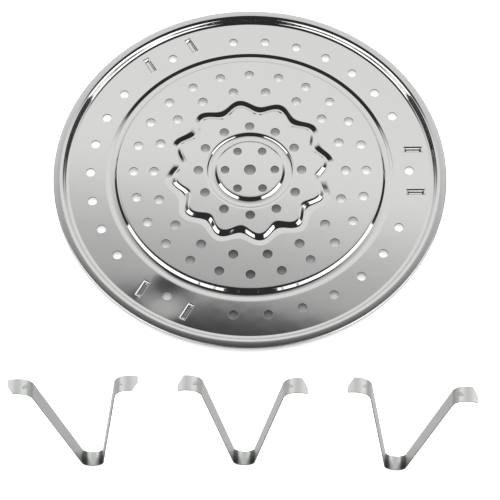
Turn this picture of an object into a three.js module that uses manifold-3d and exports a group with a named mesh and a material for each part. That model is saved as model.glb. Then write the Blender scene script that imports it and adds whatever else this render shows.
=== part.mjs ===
// A round steamer rack: a perforated tray pressed from one sheet of stainless steel, and three
// spring-strip V legs that come off it. The set is laid out as it is unpacked: the tray lies on its
// strap loops, and the legs stand upright in a row in front of it. Millimetres, +Z up, on z = 0.

import * as THREE from 'three';
import { mergeVertices } from 'three/addons/utils/BufferGeometryUtils.js';
import Module from 'manifold-3d';

const { degToRad, lerp } = THREE.MathUtils;

// Stock: the tray's sheet, and the strip that a leg is bent from
const SHEET = 0.7;
const STRIP = 0.8;
const LEG_WIDTH = 7.4;

// Bands of the tray, from its centre outwards; together they make it 220 across
const CENTRE_HOLE = 6.5;
const CENTRE_DISC_RADIUS = 18.2;
const CENTRE_GROOVE_WIDTH = 5.8;
const FLOWER_BAND = 15;
const FLOWER_GROOVE_WIDTH = 6.1;
const INNER_BAND = 28.9;
const RING_GROOVE_WIDTH = 6.4;
const OUTER_BAND = 22.6;
const RIM_WIDTH = 7;

// Heights: each band stands a step above the one outside it, with a groove pressed between them
const RING_STEP = 1;
const FLOWER_STEP = 0.9;
const CENTRE_STEP = 0.3;
const GROOVE_DEPTH = 0.55;
const CENTRE_GROOVE_DEPTH = 0.9;
const GROOVE_INNER_SLOPE = degToRad(42);
const GROOVE_OUTER_SLOPE = degToRad(22);
const CENTRE_OUTER_SLOPE = degToRad(35);

// Rim: a steep wall turns up from the outer band, and a lip turns outwards and down from its top
const RIM_HEIGHT = 3.7;
const RIM_SLOPE = degToRad(56);
const RIM_BEND = 1.2;
const LIP_DROOP = degToRad(4);
const LIP_EDGE = 1.3;

// The flower groove waves in and out between its two bands
const LOBES = 12;
const LOBE_DEPTH = 2.4;
const LOBE_TURN = degToRad(7.5);

// Steam holes: their diameters ring by ring, their number, and where each ring lies across its band
const OUTER_HOLE = 5;
const SECOND_HOLE = 5.2;
const THIRD_HOLE = 5.3;
const FLOWER_HOLE = 5.2;
const CENTRE_RING_HOLE = 4.7;
const SECOND_RING_COUNT = 24;
const THIRD_RING_COUNT = 18;
const FLOWER_RING_COUNT = 12;
const CENTRE_RING_COUNT = 6;
const OUTER_RING_PLACE = 0.404;
const SECOND_RING_PLACE = 0.7;
const THIRD_RING_PLACE = 0.3;
const FLOWER_RING_PLACE = 0.33;
const CENTRE_RING_PLACE = 0.715;

// Strap loops: lanced out of the outer band in pairs, one pair for each leg
const LEG_COUNT = 3;
const HOLES_PER_LEG = 10;
const STRAP_PLACE = 0.53;
const STRAP_SPACING = 27.8;
const STRAP_WIDTH = 2.3;
const STRAP_THICKNESS = 0.6;
const STRAP_SLOPE = 1;
const STRAP_TAB = 0.8;
const SLIT = 0.4;
const EAR_SIDE_CLEARANCE = 0.15;
const EAR_CLEARANCE = 0.5;

// Leg: a strip bent to a V, with a flat foot and two ears that turn outwards
const LEG_HEIGHT = 97.6;
const FOOT_LENGTH = 7.6;
const FOOT_BEND = 3.4;
const ARM_LEAN = degToRad(9);
const EAR_BEND = 7;
const EAR_LENGTH = 10.2;
const EAR_DROOP = degToRad(12);
const EAR_CORNER_LENGTH = 2.6;
const EAR_CORNER_DEPTH = 4.5;
const NIB_RADIUS = 0.9;
const NIB_RISE = 0.4;

// Layout: the gap from the tray to the row of legs, the gap between two legs, and how each stands
const ROW_GAP = 55;
const LEG_GAP = 17.8;
const ROW_SHIFT = -3.7;
const LEG_STANDS = [
  { name: 'leg_left', forward: 0, turn: degToRad(181.6) },
  { name: 'leg_middle', forward: 0, turn: degToRad(-1.8) },
  { name: 'leg_right', forward: 3, turn: degToRad(-5.4) },
];

// Fineness of the round forms
const PLATE_SEGMENTS = 72;
const RIM_BEND_STEPS = 2;
const BEND_STEPS = 6;
const STRAP_BEND_STEPS = 2;
const HOLE_SIDES = 10;
const NIB_SIDES = 10;

const polishedSteel = new THREE.MeshStandardMaterial({ color: 0xd6d6d6, metalness: 1, roughness: 0.18 });
const springSteel = new THREE.MeshStandardMaterial({ color: 0xb4b7b4, metalness: 1, roughness: 0.4 });

const wasm = await Module();
wasm.setup();

// A closed geometry as a solid that can be cut and joined, and back again.
function solid(geometry) {
  const bare = geometry.clone();
  bare.deleteAttribute('normal');
  bare.deleteAttribute('uv');
  const merged = mergeVertices(bare);
  return new wasm.Manifold(new wasm.Mesh({
    numProp: 3,
    vertProperties: new Float32Array(merged.attributes.position.array),
    triVerts: new Uint32Array(merged.index.array),
  }));
}

function geometryOf(body) {
  const { vertProperties, triVerts } = body.getMesh();
  const geometry = new THREE.BufferGeometry();
  geometry.setAttribute('position', new THREE.BufferAttribute(vertProperties, 3));
  geometry.setIndex(new THREE.BufferAttribute(triVerts, 1));
  geometry.computeVertexNormals();
  return geometry;
}

const vec = (x, y) => new THREE.Vector2(x, y);
const leftOf = (direction) => vec(-direction.y, direction.x);

// The middle line of a bent strip: straight runs with an arc at each inner corner. Every point comes
// with the normal to its left.
function bentLine(corners, bendRadii, steps) {
  const run = (i) => corners[i + 1].clone().sub(corners[i]).normalize();
  const line = [{ point: corners[0], normal: leftOf(run(0)) }];
  for (let i = 1; i < corners.length - 1; i++) {
    const radius = bendRadii[i - 1];
    const before = run(i - 1);
    const after = run(i);
    const turn = Math.atan2(before.cross(after), before.dot(after));
    const start = corners[i].clone().addScaledVector(before, -radius * Math.tan(Math.abs(turn) / 2));
    const centre = start.clone().addScaledVector(leftOf(before), radius * Math.sign(turn));
    for (let k = 0; k <= steps; k++) {
      const angle = turn * k / steps;
      const point = start.clone().rotateAround(centre, angle);
      line.push({ point, normal: leftOf(before).rotateAround(vec(0, 0), angle) });
    }
  }
  line.push({ point: corners.at(-1), normal: leftOf(run(corners.length - 2)) });
  return line;
}

// The edge outline of a sheet or strip of even thickness that follows a middle line.
function edgeOutline(line, thickness) {
  const side = (shift) => line.map(({ point, normal }) => point.clone().addScaledVector(normal, shift));
  return [...side(-thickness / 2), ...side(thickness / 2).reverse()];
}

// An outline drawn in X and Z, extruded along Y to a width that is centred on Y = 0.
function extrudeAcross(outline, width) {
  const geometry = new THREE.ExtrudeGeometry(new THREE.Shape(outline), { depth: width, bevelEnabled: false });
  geometry.rotateX(Math.PI / 2);
  geometry.translate(0, width / 2, 0);
  return geometry;
}

// Tray: the radii where its bands meet, and the height of each band above the outer one.
const centreGrooveOuter = CENTRE_DISC_RADIUS + CENTRE_GROOVE_WIDTH;
const flowerInner = centreGrooveOuter + FLOWER_BAND;
const flowerOuter = flowerInner + FLOWER_GROOVE_WIDTH;
const ringInner = flowerOuter + INNER_BAND;
const ringOuter = ringInner + RING_GROOVE_WIDTH;
const rimFoot = ringOuter + OUTER_BAND;
const plateRadius = rimFoot + RIM_WIDTH;
const innerLevel = RING_STEP;
const flowerLevel = innerLevel + FLOWER_STEP;
const centreLevel = flowerLevel + CENTRE_STEP;

// The four corners of a groove, from the edge of the band inside it to the edge of the one outside.
function groove(inner, outer, depth, outerSlope) {
  const floor = outer.y - depth;
  return [
    inner,
    vec(inner.x + (inner.y - floor) / Math.tan(GROOVE_INNER_SLOPE), floor),
    vec(outer.x - depth / Math.tan(outerSlope), floor),
    outer,
  ];
}

// The rim's section, from the outer band round its three bends.
function rimLine() {
  const crest = RIM_HEIGHT - SHEET / 2;
  const edgeRadius = plateRadius - SHEET / 2;
  const wallTop = vec(rimFoot + crest / Math.tan(RIM_SLOPE), crest);
  const lipEnd = vec(edgeRadius, crest - (edgeRadius - wallTop.x) * Math.tan(LIP_DROOP));
  const edgeEnd = vec(edgeRadius, lipEnd.y - LIP_EDGE);
  const corners = [vec(ringOuter, 0), vec(rimFoot, 0), wallTop, lipEnd, edgeEnd];
  return bentLine(corners, [RIM_BEND, RIM_BEND, RIM_BEND], RIM_BEND_STEPS).slice(1);
}

// The pressed sheet: its section turned about the axis, and the flower groove waved afterwards.
function pressedSheet() {
  const corners = [
    vec(CENTRE_HOLE / 2, centreLevel),
    ...groove(
      vec(CENTRE_DISC_RADIUS, centreLevel),
      vec(centreGrooveOuter, flowerLevel),
      CENTRE_GROOVE_DEPTH,
      CENTRE_OUTER_SLOPE,
    ),
    ...groove(vec(flowerInner, flowerLevel), vec(flowerOuter, innerLevel), GROOVE_DEPTH, GROOVE_OUTER_SLOPE),
    ...groove(vec(ringInner, innerLevel), vec(ringOuter, 0), GROOVE_DEPTH, GROOVE_OUTER_SLOPE),
  ];
  const across = (i) => leftOf(corners[i + 1].clone().sub(corners[i]).normalize());
  const line = corners.map((point, i) => {
    const before = i > 0 ? across(i - 1) : vec(0, 1);
    const after = i < corners.length - 1 ? across(i) : vec(0, 1);
    return { point, normal: before.clone().add(after).divideScalar(1 + before.dot(after)) };
  });
  const section = edgeOutline([...line, ...rimLine()], SHEET);
  const sheet = new THREE.LatheGeometry([...section, section[0]], PLATE_SEGMENTS);
  sheet.rotateX(Math.PI / 2);
  const position = sheet.attributes.position;
  for (let i = 0; i < position.count; i++) {
    const radius = Math.hypot(position.getX(i), position.getY(i));
    if (radius < flowerInner - SHEET || radius > flowerOuter + SHEET) continue;
    const angle = Math.atan2(position.getY(i), position.getX(i));
    const waved = radius + LOBE_DEPTH * Math.cos(LOBES * (angle - LOBE_TURN));
    position.setX(i, waved * Math.cos(angle));
    position.setY(i, waved * Math.sin(angle));
  }
  return solid(sheet);
}

// Steam holes in rings. On the outer ring, the straps take the places beside every tenth hole.
const holeRing = (places, innerEdge, outerEdge, place, hole) => (
  { places, radius: lerp(innerEdge, outerEdge, place), hole }
);
const holeRings = [
  holeRing(HOLES_PER_LEG * LEG_COUNT, ringOuter, rimFoot, OUTER_RING_PLACE, OUTER_HOLE),
  holeRing(SECOND_RING_COUNT, flowerOuter, ringInner, SECOND_RING_PLACE, SECOND_HOLE),
  holeRing(THIRD_RING_COUNT, flowerOuter, ringInner, THIRD_RING_PLACE, THIRD_HOLE),
  holeRing(FLOWER_RING_COUNT, centreGrooveOuter, flowerInner, FLOWER_RING_PLACE, FLOWER_HOLE),
  holeRing(CENTRE_RING_COUNT, CENTRE_HOLE / 2, CENTRE_DISC_RADIUS, CENTRE_RING_PLACE, CENTRE_RING_HOLE),
];
const besideStraps = (ring, i) => ring === holeRings[0] && [1, HOLES_PER_LEG - 1].includes(i % HOLES_PER_LEG);

function punchHoles(sheet) {
  const punchLength = 2 * (centreLevel + SHEET);
  let punched = sheet;
  for (const ring of holeRings) {
    for (let i = 0; i < ring.places; i++) {
      if (besideStraps(ring, i)) continue;
      const punch = new THREE.CylinderGeometry(ring.hole / 2, ring.hole / 2, punchLength, HOLE_SIDES);
      punch.rotateX(Math.PI / 2);
      punch.translate(ring.radius, 0, 0);
      punch.rotateZ(2 * Math.PI * i / ring.places);
      punched = punched.subtract(solid(punch));
    }
  }
  return punched;
}

// A strap is slit along both sides and pressed down, so that an ear slides in between it and the sheet.
const strapFlat = LEG_WIDTH + 2 * EAR_SIDE_CLEARANCE;
const strapLength = strapFlat + 2 * STRAP_SLOPE;
const strapDrop = SHEET / 2 + STRIP + EAR_CLEARANCE + STRAP_THICKNESS / 2;
const strapRadius = lerp(ringOuter, rimFoot, STRAP_PLACE);

function lanceStraps(sheet) {
  const corners = [
    vec(-strapLength / 2 - STRAP_TAB, 0),
    vec(-strapLength / 2, 0),
    vec(-strapFlat / 2, -strapDrop),
    vec(strapFlat / 2, -strapDrop),
    vec(strapLength / 2, 0),
    vec(strapLength / 2 + STRAP_TAB, 0),
  ];
  const bends = Array(corners.length - 2).fill(STRAP_THICKNESS);
  const outline = edgeOutline(bentLine(corners, bends, STRAP_BEND_STEPS), STRAP_THICKNESS);
  let lanced = sheet;
  for (let i = 0; i < LEG_COUNT; i++) {
    for (const side of [-1, 1]) {
      const window = new THREE.BoxGeometry(strapLength, STRAP_WIDTH + 2 * SLIT, 2 * SHEET);
      const strap = extrudeAcross(outline, STRAP_WIDTH);
      for (const piece of [window, strap]) {
        piece.translate(strapRadius, side * STRAP_SPACING / 2, 0);
        piece.rotateZ(2 * Math.PI * i / LEG_COUNT);
      }
      lanced = lanced.subtract(solid(window)).add(solid(strap));
    }
  }
  return lanced;
}

function tray() {
  const mesh = new THREE.Mesh(geometryOf(lanceStraps(punchHoles(pressedSheet()))), polishedSteel);
  mesh.name = 'steamer_plate';
  mesh.position.z = strapDrop + STRAP_THICKNESS / 2;
  return mesh;
}

// Leg: the directions of ear and arm away from their bend, and where the bend's centre lies.
const earRun = vec(Math.cos(EAR_DROOP), -Math.sin(EAR_DROOP));
const armRun = vec(-Math.sin(ARM_LEAN), -Math.cos(ARM_LEAN));
const bendInward = earRun.clone().add(armRun).normalize();
const bendReach = EAR_BEND / Math.abs(earRun.cross(bendInward));
const crestAboveCorner = bendInward.y * bendReach + EAR_BEND + STRIP / 2;

// Corners of the strip's middle line on the right-hand side: foot, ear bend and ear tip.
const footCorner = vec(FOOT_LENGTH / 2, STRIP / 2);
const armHeight = LEG_HEIGHT - crestAboveCorner - footCorner.y;
const earCorner = footCorner.clone().add(vec(armHeight * Math.tan(ARM_LEAN), armHeight));
const earTip = earCorner.clone().addScaledVector(earRun, EAR_LENGTH);

function legStrip() {
  const right = [footCorner, earCorner, earTip];
  const left = right.map(({ x, y }) => vec(-x, y)).reverse();
  const line = bentLine([...left, ...right], [EAR_BEND, FOOT_BEND, FOOT_BEND, EAR_BEND], BEND_STEPS);
  return solid(extrudeAcross(edgeOutline(line, STRIP), LEG_WIDTH));
}

// One corner of each ear is sheared off: a wedge that reaches past the strip on every side.
function earCornerCut(side) {
  const along = vec(EAR_CORNER_LENGTH, -EAR_CORNER_DEPTH).normalize();
  const first = vec(earTip.x - EAR_CORNER_LENGTH, LEG_WIDTH / 2).addScaledVector(along, -EAR_CORNER_LENGTH);
  const last = vec(earTip.x, LEG_WIDTH / 2 - EAR_CORNER_DEPTH).addScaledVector(along, EAR_CORNER_LENGTH);
  const wedge = new THREE.Shape([first, last, vec(last.x, first.y)]);
  const cut = new THREE.ExtrudeGeometry(wedge, { depth: 2 * LEG_HEIGHT, bevelEnabled: false });
  if (side < 0) cut.rotateY(Math.PI);
  cut.translate(0, 0, side < 0 ? 2 * LEG_HEIGHT : 0);
  return solid(cut);
}

// A small nib stands up from the bend and locks the ear behind its strap.
function nib(side) {
  const sink = STRIP / 8;
  const top = earCorner.clone().addScaledVector(bendInward, bendReach - EAR_BEND - STRIP / 2 + sink);
  const dome = new THREE.SphereGeometry(NIB_RADIUS, NIB_SIDES, NIB_SIDES / 2);
  dome.scale(1, (NIB_RISE + sink) / NIB_RADIUS, 1);
  dome.rotateX(Math.PI / 2);
  dome.rotateY(Math.atan2(-bendInward.x, -bendInward.y));
  dome.translate(top.x, 0, top.y);
  if (side < 0) dome.rotateZ(Math.PI);
  return solid(dome);
}

const legBody = [-1, 1].reduce(
  (body, side) => body.subtract(earCornerCut(side)).add(nib(side)),
  legStrip(),
);

const legPitch = 2 * earTip.x + LEG_GAP;
const rowDistance = plateRadius + ROW_GAP + LEG_WIDTH / 2;

function leg({ name, forward, turn }, i) {
  const mesh = new THREE.Mesh(geometryOf(legBody), springSteel);
  mesh.name = name;
  mesh.position.set(ROW_SHIFT + (i - (LEG_STANDS.length - 1) / 2) * legPitch, -rowDistance - forward, 0);
  mesh.rotation.z = turn;
  return mesh;
}

// The whole set, centred on the ground that it covers.
const steamerRack = new THREE.Group();
steamerRack.add(tray(), ...LEG_STANDS.map(leg));
const middle = new THREE.Box3().setFromObject(steamerRack).getCenter(new THREE.Vector3());
steamerRack.position.set(-middle.x, -middle.y, 0);

export default steamerRack;
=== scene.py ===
from math import atan2, cos, hypot, pi, radians, sin, tan

import bmesh
import bpy
from mathutils import Matrix, Vector


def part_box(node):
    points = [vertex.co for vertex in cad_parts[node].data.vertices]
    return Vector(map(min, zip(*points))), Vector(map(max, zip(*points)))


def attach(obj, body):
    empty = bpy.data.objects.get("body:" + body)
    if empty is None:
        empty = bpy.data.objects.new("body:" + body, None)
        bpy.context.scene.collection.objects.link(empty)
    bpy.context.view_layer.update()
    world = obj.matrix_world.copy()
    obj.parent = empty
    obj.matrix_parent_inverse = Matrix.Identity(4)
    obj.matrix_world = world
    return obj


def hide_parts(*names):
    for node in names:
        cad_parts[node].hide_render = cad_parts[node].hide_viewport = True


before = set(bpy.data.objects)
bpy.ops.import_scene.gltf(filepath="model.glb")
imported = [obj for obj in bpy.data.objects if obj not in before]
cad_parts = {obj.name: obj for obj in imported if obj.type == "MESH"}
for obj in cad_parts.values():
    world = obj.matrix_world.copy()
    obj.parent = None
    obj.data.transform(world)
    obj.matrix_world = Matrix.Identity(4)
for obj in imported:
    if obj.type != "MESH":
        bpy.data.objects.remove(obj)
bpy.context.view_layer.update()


# Tray: one pressing of thin stainless sheet. Each groove, and the rim, is a section through the middle of
# the sheet with rounded corners, spun about the tray's axis. The flat bands between them are filled in
# round their punched holes and lanced straps, and the whole takes the sheet's thickness.
MM = 0.001
SHEET = 0.7 * MM
SPIN_STEPS = 288
CORNER_STEPS = 5
GROOVE_CORNERS = (0.28 * MM, 0.2 * MM, 0.4 * MM, 0.4 * MM)
FLOWER_CORNER = 0.6 * MM
FLAT_MARGIN = 1.2 * MM
RIM_MARGIN = 1.9 * MM

CENTRE_GROOVE = (18.0 * MM, 24.5 * MM)
FLOWER_GROOVE = (39.0 * MM, 45.1 * MM)
RING_GROOVE = (74.5 * MM, 80.5 * MM)
RIM_FOOT = 103.4 * MM
INNER_LEVEL = 0.7 * MM
FLOWER_LEVEL = 1.6 * MM
CENTRE_LEVEL = 1.9 * MM
CENTRE_GROOVE_DEPTH = 0.9 * MM
FLOWER_GROOVE_DEPTH = 0.6 * MM
RING_GROOVE_DEPTH = 0.6 * MM
CENTRE_SLOPES = (radians(37), radians(39))
FLOWER_SLOPES = (radians(30.5), radians(12))
RING_SLOPES = (radians(42), radians(22))
RIM_HEIGHT = 3.7 * MM
RIM_SLOPE = radians(66)
RIM_CORNER = 1.5 * MM
LIP_CORNER = 0.6 * MM
LIP_DROOP = radians(4)
LIP_EDGE = 1.3 * MM

tray_low, tray_high = (Vector(corner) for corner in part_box("steamer_plate"))
tray_radius = (tray_high.x - tray_low.x) / 2
tray_axis = Vector(((tray_low.x + tray_high.x) / 2, (tray_low.y + tray_high.y) / 2, 0))
outer_level = tray_high.z - RIM_HEIGHT

tray = bmesh.new()


def unique(elements):
    """The elements in their order, each once."""
    return list(dict.fromkeys(elements))


def bent_wire(bm, points, *corners):
    """A wire through (x, z) points with its inner corners rounded; returns its vertices and its edges."""
    ends = [bm.verts.new((x, 0, z)) for x, z in points]
    for pair in zip(ends, ends[1:]):
        bm.edges.new(pair)
    for i, end in enumerate(ends[1:-1]):
        bmesh.ops.bevel(
            bm, geom=[end], offset=corners[min(i, len(corners) - 1)], affect="VERTICES",
            segments=CORNER_STEPS, profile=0.5, material=-1,
        )
    edges = [edge for edge in bm.edges if edge.is_wire]
    return unique(vert for edge in edges for vert in edge.verts), edges


def pressed_ring(section, *corners):
    """A ring of the tray: a section of the sheet spun about the axis. Returns the ring's vertices."""
    before = set(tray.verts)
    verts, edges = bent_wire(tray, section, *corners)
    bmesh.ops.spin(
        tray, geom=verts + edges, cent=(0, 0, 0), axis=(0, 0, 1), dvec=(0, 0, 0),
        angle=2 * pi, steps=SPIN_STEPS, use_merge=True,
    )
    return [vert for vert in tray.verts if vert not in before]


def groove_section(radii, level_inside, level_outside, depth, slopes):
    """A groove's section, from the band inside it to the lower band outside it."""
    inner, outer = radii
    inner_slope, outer_slope = slopes
    floor = level_outside - depth
    return [
        (inner - FLAT_MARGIN, level_inside),
        (inner, level_inside),
        (inner + (level_inside - floor) / tan(inner_slope), floor),
        (outer - depth / tan(outer_slope), floor),
        (outer, level_outside),
        (outer + FLAT_MARGIN, level_outside),
    ]


centre_section = groove_section(CENTRE_GROOVE, CENTRE_LEVEL, FLOWER_LEVEL, CENTRE_GROOVE_DEPTH, CENTRE_SLOPES)
flower_section = groove_section(FLOWER_GROOVE, FLOWER_LEVEL, INNER_LEVEL, FLOWER_GROOVE_DEPTH, FLOWER_SLOPES)
ring_section = groove_section(RING_GROOVE, INNER_LEVEL, 0, RING_GROOVE_DEPTH, RING_SLOPES)
crest = RIM_HEIGHT - SHEET / 2
wall_top = RIM_FOOT + crest / tan(RIM_SLOPE)
lip_radius = tray_radius - SHEET / 2
lip_end = crest - (lip_radius - wall_top) * tan(LIP_DROOP)
rim_section = [
    (RIM_FOOT - RIM_MARGIN, 0),
    (RIM_FOOT, 0),
    (wall_top, crest),
    (lip_radius, lip_end),
    (lip_radius, lip_end - LIP_EDGE),
]

pressed_ring(centre_section, *GROOVE_CORNERS)
flower_ring = pressed_ring(flower_section, FLOWER_CORNER)
pressed_ring(ring_section, *GROOVE_CORNERS)
pressed_ring(rim_section, RIM_CORNER, RIM_CORNER, LIP_CORNER)

# Flat bands: each lies at a level, between the open edges of the rings beside it.
LOOP_REACH = 0.05 * MM


def edge_loop(radius):
    """The open edge of the rings that lies at a radius."""
    return [
        edge for edge in tray.edges if edge.is_boundary
        and all(abs(hypot(vert.co.x, vert.co.y) - radius) < LOOP_REACH for vert in edge.verts)
    ]


def flat_band(level, *radii):
    """A band at a level, with the edges that bound it; holes add their own edges."""
    return {"level": level, "loops": [edge for radius in radii for edge in edge_loop(radius)]}


centre_band = flat_band(CENTRE_LEVEL, CENTRE_GROOVE[0] - FLAT_MARGIN)
flower_band = flat_band(FLOWER_LEVEL, CENTRE_GROOVE[1] + FLAT_MARGIN, FLOWER_GROOVE[0] - FLAT_MARGIN)
inner_band = flat_band(INNER_LEVEL, FLOWER_GROOVE[1] + FLAT_MARGIN, RING_GROOVE[0] - FLAT_MARGIN)
outer_band = flat_band(0, RING_GROOVE[1] + FLAT_MARGIN, RIM_FOOT - RIM_MARGIN)

# The flower: its groove waves in and out, a little more at its inner edge than at its outer one.
LOBES = 12
LOBE_TURN = radians(7.5)
LOBE_DEPTH_INSIDE = 2.6 * MM
LOBE_DEPTH_OUTSIDE = 2.2 * MM

for vert in flower_ring:
    radius = hypot(vert.co.x, vert.co.y)
    angle = atan2(vert.co.y, vert.co.x)
    across = (radius - FLOWER_GROOVE[0]) / (FLOWER_GROOVE[1] - FLOWER_GROOVE[0])
    depth = LOBE_DEPTH_INSIDE + (LOBE_DEPTH_OUTSIDE - LOBE_DEPTH_INSIDE) * across
    waved = radius + depth * cos(LOBES * (angle - LOBE_TURN))
    vert.co.x, vert.co.y = waved * cos(angle), waved * sin(angle)

# Holes: one in the middle and five rings, each with its count, radius and hole diameter. The outer ring
# leaves out the places of the straps.
LEG_COUNT = 3
CENTRE_HOLE = 6.5 * MM
CENTRE_HOLES = (6, 13.94 * MM, 4.7 * MM)
FLOWER_HOLES = (12, 28.95 * MM, 5.2 * MM)
INNER_HOLES = (18, 53.77 * MM, 5.3 * MM)
MIDDLE_HOLES = (24, 65.33 * MM, 5.2 * MM)
OUTER_HOLES = (30, 89.53 * MM, 5.0 * MM)
HOLE_SIDES = 32


def part_turn(i, count):
    """The turn about the axis to the i-th of evenly spaced places."""
    return Matrix.Rotation(2 * pi * i / count, 4, "Z")


def punch(band, count, radius, diameter, skip=()):
    """Marks a ring of round holes in a band."""
    for i in range(count):
        if i in skip:
            continue
        place = part_turn(i, count) @ Matrix.Translation((radius, 0, band["level"]))
        hole = bmesh.ops.create_circle(tray, segments=HOLE_SIDES, radius=diameter / 2, matrix=place)
        band["loops"] += unique(edge for vert in hole["verts"] for edge in vert.link_edges)


outer_count = OUTER_HOLES[0]
holes_per_leg = outer_count // LEG_COUNT
strap_spots = [i for i in range(outer_count) if i % holes_per_leg in (1, holes_per_leg - 1)]
punch(centre_band, 1, 0, CENTRE_HOLE)
punch(centre_band, *CENTRE_HOLES)
punch(flower_band, *FLOWER_HOLES)
punch(inner_band, *INNER_HOLES)
punch(inner_band, *MIDDLE_HOLES)
punch(outer_band, *OUTER_HOLES, skip=strap_spots)

# Straps: each is slit along both sides and pressed down to a loop that takes an ear of a leg. The long
# sides of its window are drawn down with it.
STRAP_RADIUS = 92.38 * MM
STRAP_SPACING = 27.8 * MM
STRAP_WIDTH = 2.8 * MM
STRAP_SLIT = 0.06 * MM
STRAP_TAB = 0.35 * MM
STRAP_SLOPE = 1.0 * MM
STRAP_FLAT = 7.7 * MM
STRAP_CORNER = 0.3 * MM
STRAP_MARGIN = 0.9 * MM
WINDOW_TURN = 0.35 * MM
WINDOW_DROP = 0.42 * MM
WELD_REACH = 0.01 * MM

strap_drop = outer_level - tray_low.z - SHEET / 2
strap_length = STRAP_FLAT + 2 * STRAP_SLOPE
strap_section = [
    (-strap_length / 2 - STRAP_TAB, 0),
    (-strap_length / 2, 0),
    (-STRAP_FLAT / 2, -strap_drop),
    (-STRAP_FLAT / 2 + STRAP_MARGIN, -strap_drop),
    (STRAP_FLAT / 2 - STRAP_MARGIN, -strap_drop),
    (STRAP_FLAT / 2, -strap_drop),
    (strap_length / 2, 0),
    (strap_length / 2 + STRAP_TAB, 0),
]
window_end = strap_length / 2 + STRAP_TAB
window_side = STRAP_WIDTH / 2 + STRAP_SLIT + WINDOW_TURN
window_outline = [
    Vector((end * window_end, end * across, 0)) for end in (-1, 1)
    for across in (window_side, STRAP_WIDTH / 2, -STRAP_WIDTH / 2, -window_side)
]
strap_places = [
    part_turn(i, LEG_COUNT) @ Matrix.Translation((STRAP_RADIUS, side * STRAP_SPACING / 2, 0))
    for i in range(LEG_COUNT) for side in (-1, 1)
]


def swept(bm, edges, along):
    """Draws edges out to a strip along a vector; returns the vertices of its far side."""
    strip = bmesh.ops.extrude_edge_only(bm, edges=edges)["geom"]
    far_side = [element for element in strip if isinstance(element, bmesh.types.BMVert)]
    bmesh.ops.translate(bm, verts=far_side, vec=along)
    return far_side


window_sides = []
for place in strap_places:
    corners = [tray.verts.new(place @ corner) for corner in window_outline]
    edges = [tray.edges.new(pair) for pair in zip(corners, corners[1:] + corners[:1])]
    outer_band["loops"] += edges
    window_sides += [(edges[3], place, -1), (edges[7], place, 1)]

for band in (centre_band, flower_band, inner_band, outer_band):
    bmesh.ops.triangle_fill(tray, use_beauty=True, use_dissolve=False, edges=band["loops"], normal=(0, 0, 1))

for edge, place, inward in window_sides:
    swept(tray, [edge], place.to_3x3() @ Vector((0, inward * WINDOW_TURN, -WINDOW_DROP)))

for place in strap_places:
    near_side, edges = bent_wire(tray, strap_section, STRAP_CORNER)
    far_side = swept(tray, edges, (0, STRAP_WIDTH, 0))
    centred = place @ Matrix.Translation((0, -STRAP_WIDTH / 2, 0))
    bmesh.ops.transform(tray, matrix=centred, verts=near_side + far_side)

bmesh.ops.remove_doubles(tray, verts=tray.verts[:], dist=WELD_REACH)
bmesh.ops.recalc_face_normals(tray, faces=tray.faces[:])
if max(tray.faces, key=lambda face: face.calc_area()).normal.z < 0:
    bmesh.ops.reverse_faces(tray, faces=tray.faces[:])
bmesh.ops.translate(tray, verts=tray.verts[:], vec=tray_axis + Vector((0, 0, outer_level)))

# Stock: sheet and strip get their thickness, and their cut edges are eased.
CUT_EDGE = 0.18 * MM
CUT_EDGE_STEPS = 3
CUT_EDGE_ANGLE = radians(40)


def finished(bm, name, thickness, *materials):
    """A smooth object of a bent sheet or strip; its cut edges are of the last material."""
    for face in bm.faces:
        face.smooth = True
    mesh = bpy.data.meshes.new(name)
    bm.to_mesh(mesh)
    bm.free()
    piece = bpy.data.objects.new(name, mesh)
    bpy.context.collection.objects.link(piece)
    wall = piece.modifiers.new("stock thickness", "SOLIDIFY")
    wall.thickness = thickness
    wall.offset = 0
    wall.use_even_offset = True
    wall.material_offset_rim = len(materials) - 1
    for material in materials:
        mesh.materials.append(material)
    ease = piece.modifiers.new("eased cut edges", "BEVEL")
    ease.width = CUT_EDGE
    ease.segments = CUT_EDGE_STEPS
    ease.limit_method = "ANGLE"
    ease.angle_limit = CUT_EDGE_ANGLE
    ease.use_clamp_overlap = False
    ease.harden_normals = True
    return piece


def linear(hex_colour):
    """An sRGB hex value as linear red, green, blue and alpha."""
    values = [int(hex_colour[i:i + 2], 16) / 255 for i in (1, 3, 5)]
    return [v / 12.92 if v <= 0.04045 else ((v + 0.055) / 1.055) ** 2.4 for v in values] + [1]


def plain_steel(name, colour, roughness):
    """A material for steel of one colour and roughness."""
    material = bpy.data.materials.new(name)
    material.use_nodes = True
    shader = material.node_tree.nodes["Principled BSDF"]
    shader.inputs["Base Color"].default_value = linear(colour)
    shader.inputs["Metallic"].default_value = 1
    shader.inputs["Roughness"].default_value = roughness
    return material


def node(tree, kind, links=(), **settings):
    """Adds a node with its settings; a link is (input, value or output socket of another node)."""
    added = tree.nodes.new(kind)
    for key, value in settings.items():
        setattr(added, key, value)
    for name, value in links:
        if isinstance(value, bpy.types.NodeSocket):
            tree.links.new(value, added.inputs[name])
        else:
            added.inputs[name].default_value = value
    return added


# Polished stainless sheet: a bright mirror, not quite even. Between each pair of straps it is drawn down
# to a shallow dent.
TRAY_STEEL = "#E3E3E2"
POLISH = 0.06
UNEVEN_SCALE = 90
UNEVEN_HEIGHT = 0.012 * MM
DENT_RADIUS = 90 * MM
DENT_REACH = 17 * MM
DENT_DEPTH = 0.14 * MM

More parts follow.
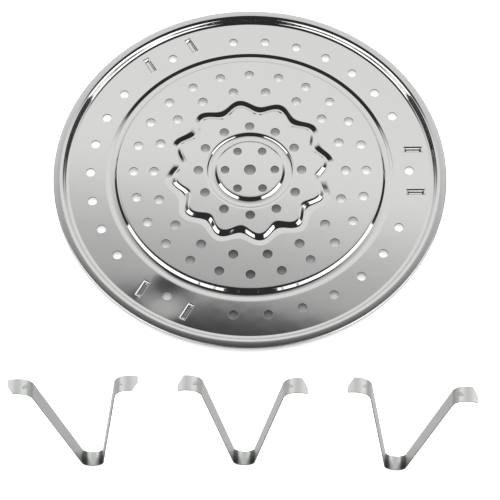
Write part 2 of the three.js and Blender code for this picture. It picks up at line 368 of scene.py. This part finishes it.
tray_steel = plain_steel("polished stainless sheet", TRAY_STEEL, POLISH)
tree = tray_steel.node_tree
where = node(tree, "ShaderNodeTexCoord").outputs["Object"]
uneven = node(tree, "ShaderNodeTexNoise", [("Vector", where), ("Scale", UNEVEN_SCALE), ("Detail", 1)])
relief = node(tree, "ShaderNodeMath", [(0, uneven.outputs["Fac"]), (1, UNEVEN_HEIGHT)], operation="MULTIPLY")
for i in range(LEG_COUNT):
    dent_centre = tray_axis + part_turn(i, LEG_COUNT) @ Vector((DENT_RADIUS, 0, outer_level))
    off_dent = node(tree, "ShaderNodeVectorMath", [(0, where), (1, dent_centre)], operation="DISTANCE")
    dent = node(tree, "ShaderNodeMapRange", [
        ("Value", off_dent.outputs["Value"]), ("From Min", 0), ("From Max", DENT_REACH),
        ("To Min", -DENT_DEPTH), ("To Max", 0),
    ], interpolation_type="SMOOTHSTEP")
    relief = node(tree, "ShaderNodeMath", [(0, relief.outputs[0]), (1, dent.outputs[0])], operation="ADD")
bump = node(tree, "ShaderNodeBump", [("Height", relief.outputs[0]), ("Distance", 1), ("Strength", 1)])
tree.links.new(bump.outputs["Normal"], tree.nodes["Principled BSDF"].inputs["Normal"])

# Rolled lip: the same steel as it comes from the mill, which the polishing wheel did not reach. The walls of
# the holes are the duller steel that the punch left.
LIP_START = 106.3 * MM
LIP_STEEL = "#DEDEDD"
MILL_FINISH = 0.28
PUNCHED_STEEL = "#8C8C8B"
PUNCHED = 0.35

tray_piece = finished(
    tray, "pressed_tray", SHEET, tray_steel,
    plain_steel("mill finish stainless lip", LIP_STEEL, MILL_FINISH),
    plain_steel("punched stainless edge", PUNCHED_STEEL, PUNCHED),
)
for face in tray_piece.data.polygons:
    face.material_index = (face.center - tray_axis).xy.length > LIP_START
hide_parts("steamer_plate")
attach(tray_piece, "tray")


# Satin spring steel: the grey, fine-grained strip of the legs. The bends of the foot are darkened with
# painted shade, and the sheared edges are dull.
LEG_STEEL = "#A8AAA7"
FOOT_SHADE_COLOUR = "#666865"
FOOT_SHADE_HEIGHTS = (1.1 * MM, 2 * MM, 4.6 * MM, 6.6 * MM)
SATIN = 0.31
GRAIN_SCALE = 1100
GRAIN_HEIGHT = 0.006 * MM
SHEARED_STEEL = "#6E706D"
SHEARED = 0.45


def ramp(tree, factor, stops):
    """A colour ramp through (position, colour) stops; returns its colour."""
    added = node(tree, "ShaderNodeValToRGB", [("Fac", factor)])
    elements = added.color_ramp.elements
    elements.remove(elements[1])
    elements[0].position, elements[0].color = stops[0]
    for position, colour in stops[1:]:
        elements.new(position).color = colour
    return added.outputs["Color"]


leg_steel = plain_steel("satin spring steel strip", LEG_STEEL, SATIN)
tree = leg_steel.node_tree
where = node(tree, "ShaderNodeTexCoord").outputs["Object"]
grain = node(tree, "ShaderNodeTexNoise", [("Vector", where), ("Scale", GRAIN_SCALE), ("Detail", 2)])
bump = node(tree, "ShaderNodeBump", [
    ("Height", grain.outputs["Fac"]), ("Distance", GRAIN_HEIGHT), ("Strength", 1),
])
# Painted shade: the strip's colour darkens in a band across the foot bends, between these heights above the
# foot.
above = node(tree, "ShaderNodeSeparateXYZ", [("Vector", where)]).outputs["Z"]
share = node(tree, "ShaderNodeMath", [(0, above), (1, FOOT_SHADE_HEIGHTS[-1])], operation="DIVIDE")
painted_foot_shade = ramp(tree, share.outputs[0], [
    (height / FOOT_SHADE_HEIGHTS[-1], linear(colour))
    for height, colour in zip(FOOT_SHADE_HEIGHTS, (LEG_STEEL, FOOT_SHADE_COLOUR, FOOT_SHADE_COLOUR, LEG_STEEL))
])
shader = tree.nodes["Principled BSDF"]
tree.links.new(painted_foot_shade, shader.inputs["Base Color"])
tree.links.new(bump.outputs["Normal"], shader.inputs["Normal"])
sheared_steel = plain_steel("sheared spring steel edge", SHEARED_STEEL, SHEARED)

# Legs: three alike strips of spring steel, each bent to a V with a flat foot and two ears. One corner of
# each ear is sheared off, and a nib pressed up at the bend keeps the ear behind its strap.
STRIP = 0.5 * MM
LEG_WIDTH = 7.4 * MM
FOOT_LENGTH = 9.2 * MM
FOOT_BEND = 5.3 * MM
ARM_LEAN = radians(8.6)
EAR_BEND = 7 * MM
EAR_LENGTH = 10.2 * MM
EAR_DROOP = radians(18)
EAR_CORNER_LENGTH = 2.6 * MM
EAR_CORNER_DEPTH = 4.5 * MM
NIB_RADIUS = 0.9 * MM
NIB_RISE = 0.4 * MM
NIB_CUTS = 29
NIB_PATCH = 2 * NIB_RADIUS
BEND_STEPS = 30
LEG_TURNS = {"leg_left": radians(181.6), "leg_middle": radians(-1.8), "leg_right": radians(-5.4)}

ear_run = Vector((cos(EAR_DROOP), -sin(EAR_DROOP)))
arm_run = Vector((-sin(ARM_LEAN), -cos(ARM_LEAN)))
bend_inward = (ear_run + arm_run).normalized()
ear_half_turn = pi / 2 - ear_run.angle(arm_run) / 2
foot_half_turn = (pi / 2 - ARM_LEAN) / 2
bend_reach = EAR_BEND / cos(ear_half_turn)
bend_rise = bend_inward.y * bend_reach + EAR_BEND + STRIP / 2

legs = bpy.data.collections.new("legs")
for name, turn in LEG_TURNS.items():
    low, high = (Vector(corner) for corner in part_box(name))
    foot_corner = Vector((FOOT_LENGTH / 2, STRIP / 2))
    arm_height = high.z - low.z - bend_rise - foot_corner.y
    ear_corner = foot_corner + Vector((arm_height * tan(ARM_LEAN), arm_height))
    ear_tip = ear_corner + ear_run * EAR_LENGTH

    leg = bmesh.new()
    right = [foot_corner, ear_corner, ear_tip]
    line = [Vector((-p.x, p.y)) for p in reversed(right)] + right
    ends = [leg.verts.new((p.x, -LEG_WIDTH / 2, p.y)) for p in line]
    for pair in zip(ends, ends[1:]):
        leg.edges.new(pair)
    for corners, setback in (
        ([ends[1], ends[4]], EAR_BEND * tan(ear_half_turn)),
        ([ends[2], ends[3]], FOOT_BEND * tan(foot_half_turn)),
    ):
        bmesh.ops.bevel(
            leg, geom=corners, offset=setback, affect="VERTICES",
            segments=BEND_STEPS, profile=0.5, material=-1,
        )
    swept(leg, leg.edges[:], (0, LEG_WIDTH, 0))

    bend_top = ear_corner + bend_inward * (bend_reach - EAR_BEND)
    for side in (-1, 1):
        nib = Vector((side * bend_top.x, 0, bend_top.y))
        pressed = Vector((-side * bend_inward.x, 0, -bend_inward.y)) * NIB_RISE
        crossing = [
            edge for edge in leg.edges if abs(edge.verts[0].co.y - edge.verts[1].co.y) > LEG_WIDTH / 2
            and ((edge.verts[0].co + edge.verts[1].co) / 2 - nib).length < NIB_PATCH
        ]
        bmesh.ops.subdivide_edges(leg, edges=crossing, cuts=NIB_CUTS, use_grid_fill=True)
        for vert in leg.verts:
            off_nib = (vert.co - nib).length / NIB_RADIUS
            if off_nib < 1:
                vert.co += pressed * (1 - off_nib ** 2)
        ear = [face for face in leg.faces if side * face.calc_center_median().x > ear_corner.x]
        ear_edges = unique(edge for face in ear for edge in face.edges)
        ear_verts = unique(vert for face in ear for vert in face.verts)
        bmesh.ops.bisect_plane(
            leg, geom=ear + ear_edges + ear_verts,
            plane_co=(side * ear_tip.x, LEG_WIDTH / 2 - EAR_CORNER_DEPTH, 0),
            plane_no=(side * EAR_CORNER_DEPTH, EAR_CORNER_LENGTH, 0), clear_outer=True,
        )
    bmesh.ops.recalc_face_normals(leg, faces=leg.faces[:])
    if max(leg.faces, key=lambda face: face.calc_center_median().z).normal.z < 0:
        bmesh.ops.reverse_faces(leg, faces=leg.faces[:])
    middle = (low + high) / 2
    place = Matrix.Translation((middle.x, middle.y, low.z)) @ Matrix.Rotation(turn, 4, "Z")
    bmesh.ops.transform(leg, matrix=place, verts=leg.verts[:])
    leg_piece = finished(leg, "spring_" + name, STRIP, leg_steel, sheared_steel)
    legs.objects.link(leg_piece)
    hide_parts(name)
    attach(leg_piece, name)


# Leg lamps: a soft box over the row of legs and one at each side, for the legs alone, which their satin ears,
# bends and feet mirror. Each has its place, width, height and radiance.
LEG_LAMPS = {
    "over the legs": (Vector((0, 0.12, 0.62)), 4.0, 0.7, 1.05),
    "left of the legs": (Vector((-1.15, 0.5, 0.3)), 1.1, 0.9, 0.7),
    "right of the legs": (Vector((1.15, 0.5, 0.3)), 1.1, 0.9, 0.7),
}


def soft_box(name, position, aim, width, height, radiance):
    """A rectangular lamp that faces a point; the camera doesn't see it. Returns the lamp's object."""
    lamp = bpy.data.lights.new(name, "AREA")
    lamp.shape = "RECTANGLE"
    lamp.size = width
    lamp.size_y = height
    lamp.energy = radiance * pi * width * height
    lamp_piece = bpy.data.objects.new(name, lamp)
    bpy.context.collection.objects.link(lamp_piece)
    facing = (position - aim).to_track_quat("Z", "Y").to_matrix().to_4x4()
    lamp_piece.matrix_world = Matrix.Translation(position) @ facing
    lamp_piece.visible_camera = False
    return lamp_piece


row_low, row_high = (Vector(corner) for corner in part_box("leg_right"))
for name, (position, width, height, radiance) in LEG_LAMPS.items():
    leg_lamp = soft_box(name, position, Vector((0, row_low.y, row_high.z)), width, height, radiance)
    leg_lamp.light_linking.receiver_collection = legs


# Table: a plain white sheet that the set lies on. It is white round the tray; under the tray a painted shadow
# makes it bright at both sides and far away, where light comes in, and dim at the near edge. Its colour and
# its glow carry the same painted shadow, so what it throws back up at the tray follows the same brightness.
TABLE_SIZE = 6
TABLE_GLOW = 0.85
TABLE_MIRRORED = 0.06
TABLE_WHITE = 0.9
SHADE_CENTRE = Vector((0, -85, 0)) * MM
SHADE_REACH = (112 * MM, 285 * MM)
SHADE_DARKEST = 0.055
SHADE_EDGE = 0.95
SPILL = 2.4

table = bmesh.new()
bmesh.ops.create_grid(table, x_segments=1, y_segments=1, size=TABLE_SIZE / 2)
mesh = bpy.data.meshes.new("table")
table.to_mesh(mesh)
table.free()
table_piece = bpy.data.objects.new("table", mesh)
bpy.context.collection.objects.link(table_piece)
table_white = bpy.data.materials.new("matt white table")
table_white.use_nodes = True
tree = table_white.node_tree
tree.nodes.clear()
path = node(tree, "ShaderNodeLightPath")
where = node(tree, "ShaderNodeTexCoord").outputs["Object"]
# Painted shadow: the level is darkest near the tray's near edge and grows with the stretched distance from
# there; beyond the tray's rim the table is white.
off_centre = node(tree, "ShaderNodeVectorMath", [
    (0, where), (1, tray_axis + SHADE_CENTRE),
], operation="SUBTRACT")
stretched = node(tree, "ShaderNodeVectorMath", [
    (0, off_centre.outputs[0]), (1, (1 / SHADE_REACH[0], 1 / SHADE_REACH[1], 0)),
], operation="MULTIPLY")
squared = node(tree, "ShaderNodeVectorMath", [
    (0, stretched.outputs[0]), (1, stretched.outputs[0]),
], operation="DOT_PRODUCT")
under = node(tree, "ShaderNodeMath", [(0, squared.outputs["Value"]), (1, SHADE_DARKEST)], operation="ADD")
shaded = node(tree, "ShaderNodeMath", [(0, under.outputs[0]), (1, TABLE_GLOW)], operation="MINIMUM")
off_axis = node(tree, "ShaderNodeVectorMath", [(0, where), (1, tray_axis)], operation="DISTANCE")
clear = node(tree, "ShaderNodeMapRange", [
    ("Value", off_axis.outputs["Value"]), ("From Min", SHADE_EDGE * tray_radius), ("From Max", tray_radius),
    ("To Min", 0), ("To Max", TABLE_GLOW),
])
level = node(tree, "ShaderNodeMath", [(0, shaded.outputs[0]), (1, clear.outputs[0])], operation="MAXIMUM")
seen = node(tree, "ShaderNodeMath", [
    (0, path.outputs["Is Glossy Ray"]), (1, TABLE_MIRRORED), (2, path.outputs["Is Camera Ray"]),
], operation="MULTIPLY_ADD")
glow = node(tree, "ShaderNodeMath", [(0, seen.outputs[0]), (1, level.outputs[0])], operation="MULTIPLY")
# The diffuse colour carries the same painted shadow as the glow.
spill = node(tree, "ShaderNodeMath", [(0, level.outputs[0]), (1, SPILL)], operation="MULTIPLY")
pale = node(tree, "ShaderNodeMath", [(0, spill.outputs[0]), (1, TABLE_WHITE)], operation="MINIMUM")
matt = node(tree, "ShaderNodeBsdfDiffuse", [("Color", pale.outputs[0])])
lit = node(tree, "ShaderNodeEmission", [("Color", (1, 1, 1, 1)), ("Strength", glow.outputs[0])])
both = node(tree, "ShaderNodeAddShader", [(0, matt.outputs[0]), (1, lit.outputs[0])])
node(tree, "ShaderNodeOutputMaterial", [("Surface", both.outputs[0])])
table_piece.data.materials.append(table_white)


# Studio: a pale backdrop that curves round behind the tray, leans a little to the right and fades to a dark
# ceiling and dark sides. The camera itself sees white all round.
BACKDROP_CURVE = (0.67, 0.99)
BACKDROP_LEAN = 0.15
BACKDROP_LEAN_REACH = 0.15
BACKDROP_STOPS = (
    (0, 0.02), (0.40, 0.03), (0.42, 0.08), (0.427, 0.16), (0.432, 0.36), (0.44, 0.50), (0.46, 0.54),
    (0.485, 0.70), (0.505, 0.84), (0.52, 0.88), (0.60, 0.86),
)
BACKDROP_SIDES = (0.71, 0.85)
BACKDROP_FILL = 0.5
ROOM_DARK = 0.03

world = bpy.data.worlds.new("studio")
bpy.context.scene.world = world
world.use_nodes = True
tree = world.node_tree
tree.nodes.clear()
path = node(tree, "ShaderNodeLightPath")
outward = node(tree, "ShaderNodeTexCoord").outputs["Generated"]
to_right = node(tree, "ShaderNodeSeparateXYZ", [("Vector", outward)]).outputs["X"]
lean = node(tree, "ShaderNodeMapRange", [
    ("Value", to_right), ("From Min", -BACKDROP_LEAN_REACH), ("From Max", BACKDROP_LEAN_REACH),
    ("To Min", -BACKDROP_LEAN * BACKDROP_LEAN_REACH), ("To Max", BACKDROP_LEAN * BACKDROP_LEAN_REACH),
])
curved = node(tree, "ShaderNodeVectorMath", [(0, outward), (1, (*BACKDROP_CURVE, 0))], operation="MULTIPLY")
behind = node(tree, "ShaderNodeVectorMath", [(0, curved.outputs[0]), (1, (-1, 0, 0))], operation="MAXIMUM")
off_zenith = node(tree, "ShaderNodeVectorMath", [(0, behind.outputs[0])], operation="LENGTH")
facing = node(tree, "ShaderNodeMath", [
    (0, off_zenith.outputs["Value"]), (1, lean.outputs[0]),
], operation="ADD")
pale = ramp(tree, facing.outputs[0], [(stop, (grey, grey, grey, 1)) for stop, grey in BACKDROP_STOPS])
sideways = node(tree, "ShaderNodeMath", [(0, to_right)], operation="ABSOLUTE")
sides = node(tree, "ShaderNodeMapRange", [
    ("Value", sideways.outputs[0]), ("From Min", BACKDROP_SIDES[0]), ("From Max", BACKDROP_SIDES[1]),
    ("To Min", 1), ("To Max", 0),
])
backdrop = node(tree, "ShaderNodeMath", [(0, pale), (1, sides.outputs[0])], operation="MULTIPLY")
room = node(tree, "ShaderNodeMath", [(0, backdrop.outputs[0]), (1, ROOM_DARK)], operation="MAXIMUM")
seen = node(tree, "ShaderNodeMath", [
    (0, room.outputs[0]), (1, path.outputs["Is Camera Ray"]),
], operation="MAXIMUM")
fill = node(tree, "ShaderNodeMath", [
    (0, path.outputs["Is Diffuse Ray"]), (1, BACKDROP_FILL), (2, 1),
], operation="MULTIPLY_ADD")
strength = node(tree, "ShaderNodeMath", [(0, seen.outputs[0]), (1, fill.outputs[0])], operation="MULTIPLY")
sky = node(tree, "ShaderNodeBackground", [("Color", (1, 1, 1, 1)), ("Strength", strength.outputs[0])])
node(tree, "ShaderNodeOutputWorld", [("Surface", sky.outputs[0])])

# Front boxes: two soft boxes left and right of the camera, which the near sides of the grooves mirror.
BOX_AZIMUTH = radians(57.5)
BOX_ELEVATION = radians(28)
BOX_DISTANCE = 1.2
BOX_WIDTH = 1.5
BOX_HEIGHT = 0.97
BOX_RADIANCE = 1.5

for name, side in (("left soft box", -1), ("right soft box", 1)):
    towards = Vector((
        side * sin(BOX_AZIMUTH) * cos(BOX_ELEVATION),
        -cos(BOX_AZIMUTH) * cos(BOX_ELEVATION),
        sin(BOX_ELEVATION),
    ))
    position = tray_axis + towards * BOX_DISTANCE
    box = soft_box(name, position, tray_axis, BOX_WIDTH, BOX_HEIGHT, BOX_RADIANCE)
    box.visible_diffuse = False

# Back light: falls through the holes from behind and shows only on the table.
BACK_LIGHT_ELEVATION = radians(80)
BACK_LIGHT_SPREAD = radians(50)
BACK_LIGHT_STRENGTH = 1.6

sun = bpy.data.lights.new("back light", "SUN")
sun.angle = BACK_LIGHT_SPREAD
sun.energy = BACK_LIGHT_STRENGTH
sun_piece = bpy.data.objects.new("back light", sun)
bpy.context.collection.objects.link(sun_piece)
sun_piece.matrix_world = Matrix.Rotation(BACK_LIGHT_ELEVATION - pi / 2, 4, "X")
sun_piece.visible_glossy = False


# Camera: where the photograph was taken from, found from the tray's holes and rim.
FOCAL_PIXELS = 1440
FRAME_PIXELS = 500
SENSOR_WIDTH = 36
CAMERA_FROM_TRAY = Vector((-0.2, -419.52, 695.95)) * MM
CAMERA_DIP = radians(61.947)
CAMERA_ROLL = radians(-0.319)

camera = bpy.data.cameras.new("camera")
camera.sensor_width = SENSOR_WIDTH
camera.lens = FOCAL_PIXELS / FRAME_PIXELS * SENSOR_WIDTH
camera.clip_start = 0.01
camera.clip_end = 20
camera_piece = bpy.data.objects.new("camera", camera)
bpy.context.collection.objects.link(camera_piece)
camera_piece.matrix_world = (
    Matrix.Translation(tray_axis + CAMERA_FROM_TRAY)
    @ Matrix.Rotation(pi / 2 - CAMERA_DIP, 4, "X")
    @ Matrix.Rotation(CAMERA_ROLL, 4, "Z")
)
bpy.context.scene.camera = camera_piece
bpy.context.scene.view_settings.view_transform = "Standard"
